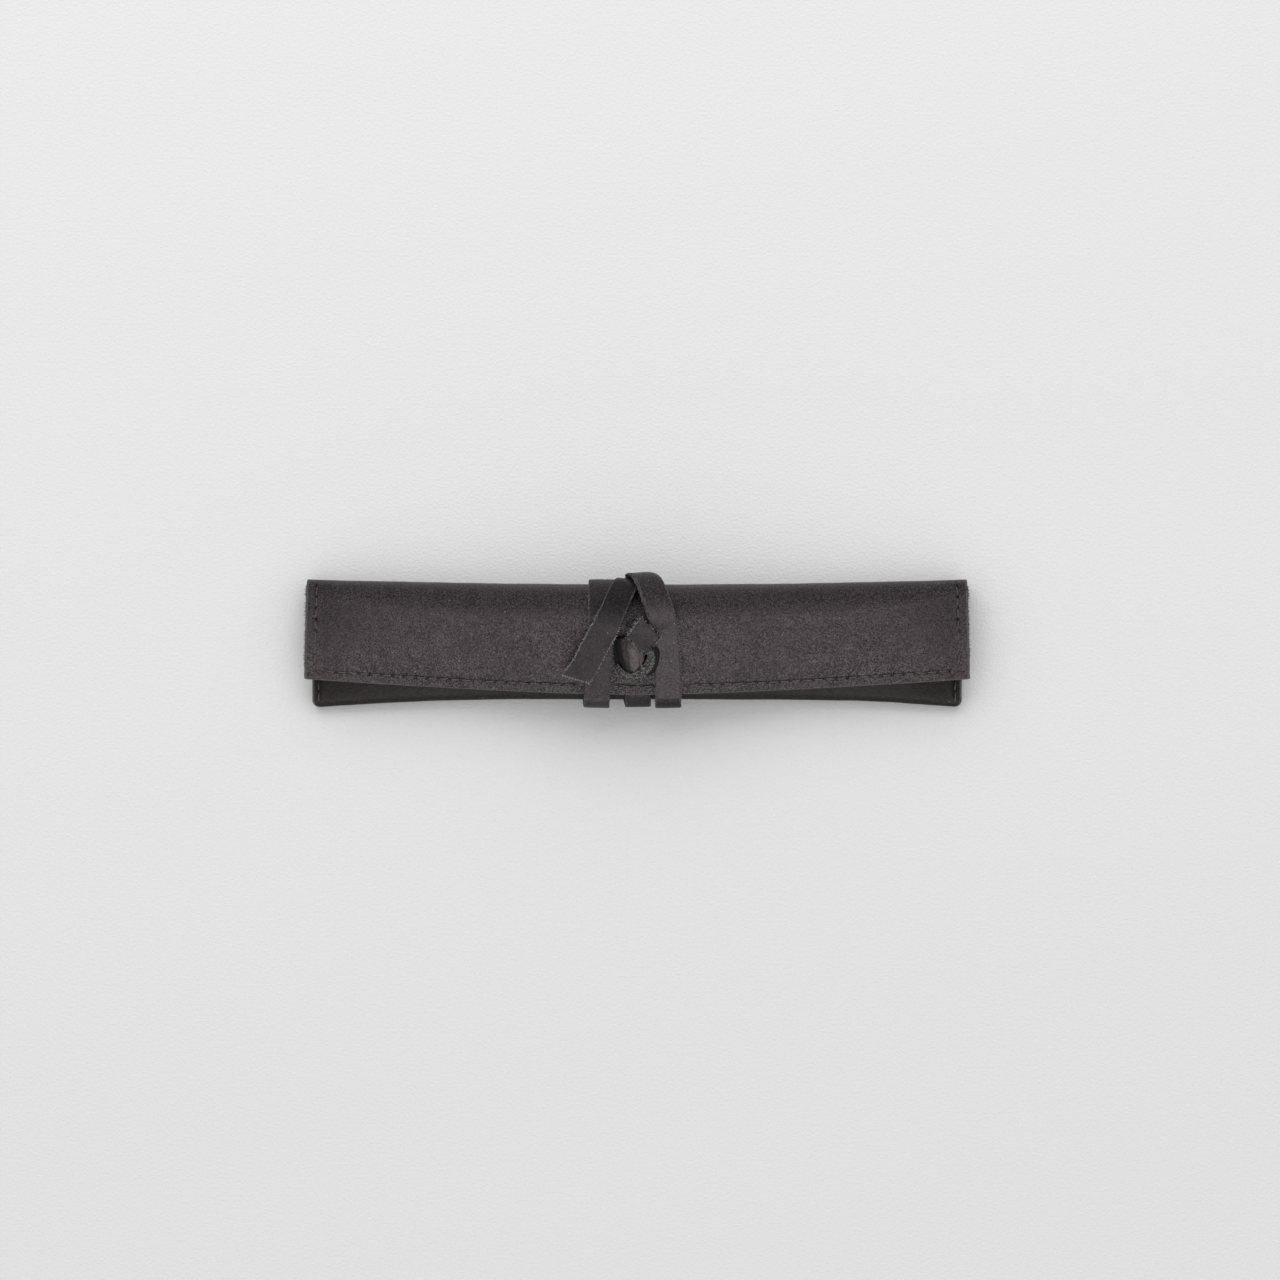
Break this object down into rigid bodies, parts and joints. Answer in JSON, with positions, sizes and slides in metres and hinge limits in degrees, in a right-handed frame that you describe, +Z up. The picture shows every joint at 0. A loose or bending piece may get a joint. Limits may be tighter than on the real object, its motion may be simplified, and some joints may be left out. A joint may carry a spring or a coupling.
{
  "type": "single pen sleeve",
  "caption": "Slim leather sleeve for one pen: a folded long-mouthed pocket with a full-length flap, held shut by a narrow strap knotted through the flap and wound round the waist.",
  "frame": {"origin": "centre of the footprint, on the surface that the sleeve lies on", "axes": "+X along the sleeve, +Y towards the top fold, +Z up from the table"},
  "size_m": [0.176, 0.0359, 0.0227],
  "materials": {
    "hide": "fine pebbled grain, soft satin",
    "lining": "smooth matt",
    "thread": "waxed, matt",
    "strap": "smooth satin, raw cut edges"
  },
  "bodies": {
    "pouch": {"body_hide": "hide", "body_lining": "lining", "left_seam_stitching": "thread", "right_seam_stitching": "thread"},
    "flap": {"flap_hide": "hide", "flap_lining": "lining", "flap_stitching": "thread", "strap_wrap": "strap", "strap_knot": "strap"},
    "loose_end": {"strap_tail": "strap"}
  },
  "joints": [
    {"name": "flap_hinge", "type": "hinge", "parent": "pouch", "child": "flap", "pos_m": [0, 0.0163, 0.0079], "axis": [-1, 0, 0], "range_deg": [0, 150], "deforming": ["strap_wrap"]},
    {"name": "loose_end_lift", "type": "hinge", "parent": "flap", "child": "loose_end", "pos_m": [-0.00328, 0.01469, 0.01889], "axis": [-0.9243, 0.262, -0.2776], "range_deg": [0, 60]}
  ]
}
